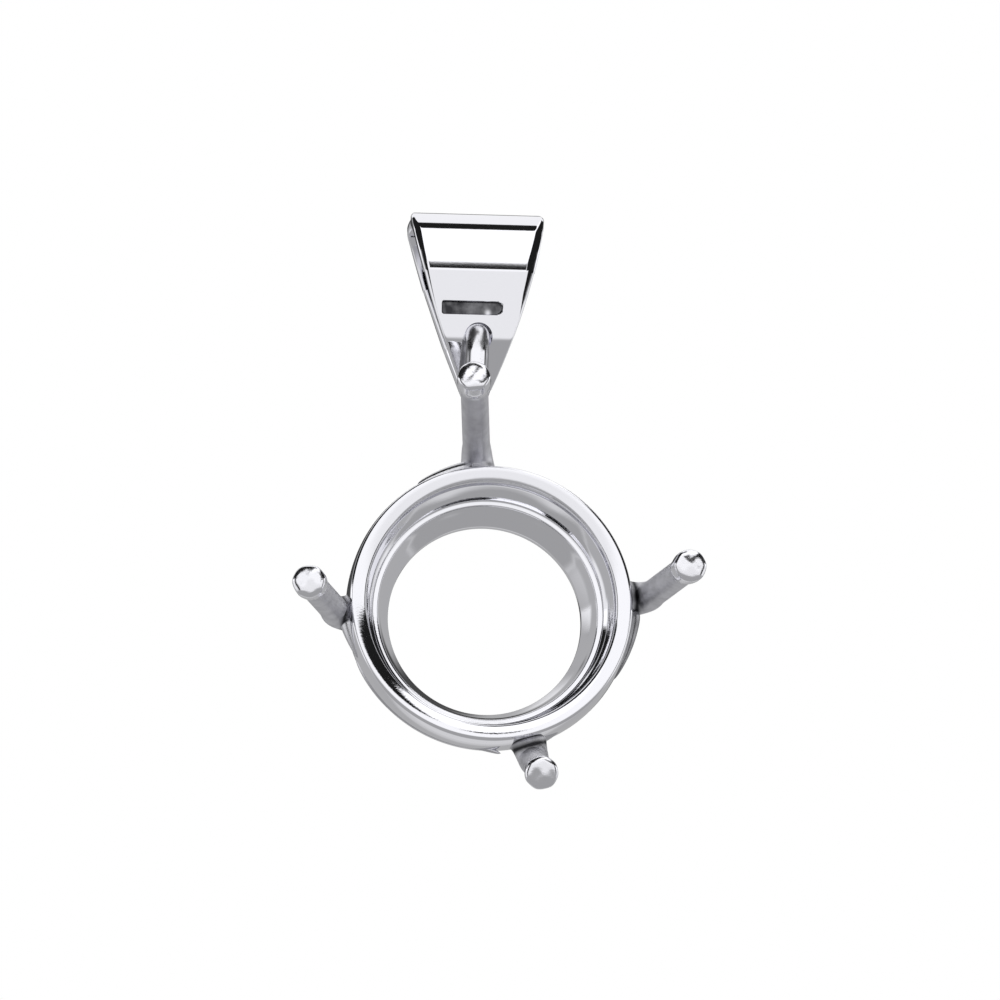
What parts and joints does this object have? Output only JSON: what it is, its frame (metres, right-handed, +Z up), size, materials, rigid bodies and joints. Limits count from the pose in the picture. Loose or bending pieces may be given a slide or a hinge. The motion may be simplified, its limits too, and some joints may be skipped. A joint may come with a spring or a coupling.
{
  "type": "pendant mount",
  "caption": "Round prong-set pendant mounting, unset: band with bearing ring and splayed prongs, hanging by a soldered wire loop from a folded tapered bail.",
  "frame": {"origin": "the point inside the bail's fold where a chain bears, in the bail's middle plane", "axes": "+Z up with the pendant hanging, -Y towards the viewer and the prong tips, +X to the right"},
  "size_m": [0.0135, 0.0072, 0.0205],
  "materials": {
    "bail_metal": "mirror-polished silver",
    "setting_metal": "polished silver, prongs left a little duller than the band"
  },
  "bodies": {
    "bail": {"bail": "bail_metal"},
    "setting": {"setting": "setting_metal"}
  },
  "joints": [
    {"name": "loop_swing", "type": "hinge", "parent": "bail", "child": "setting", "pos_m": [0, 0, -0.004], "axis": [0, 1, 0], "range_deg": [-110, 110]}
  ]
}
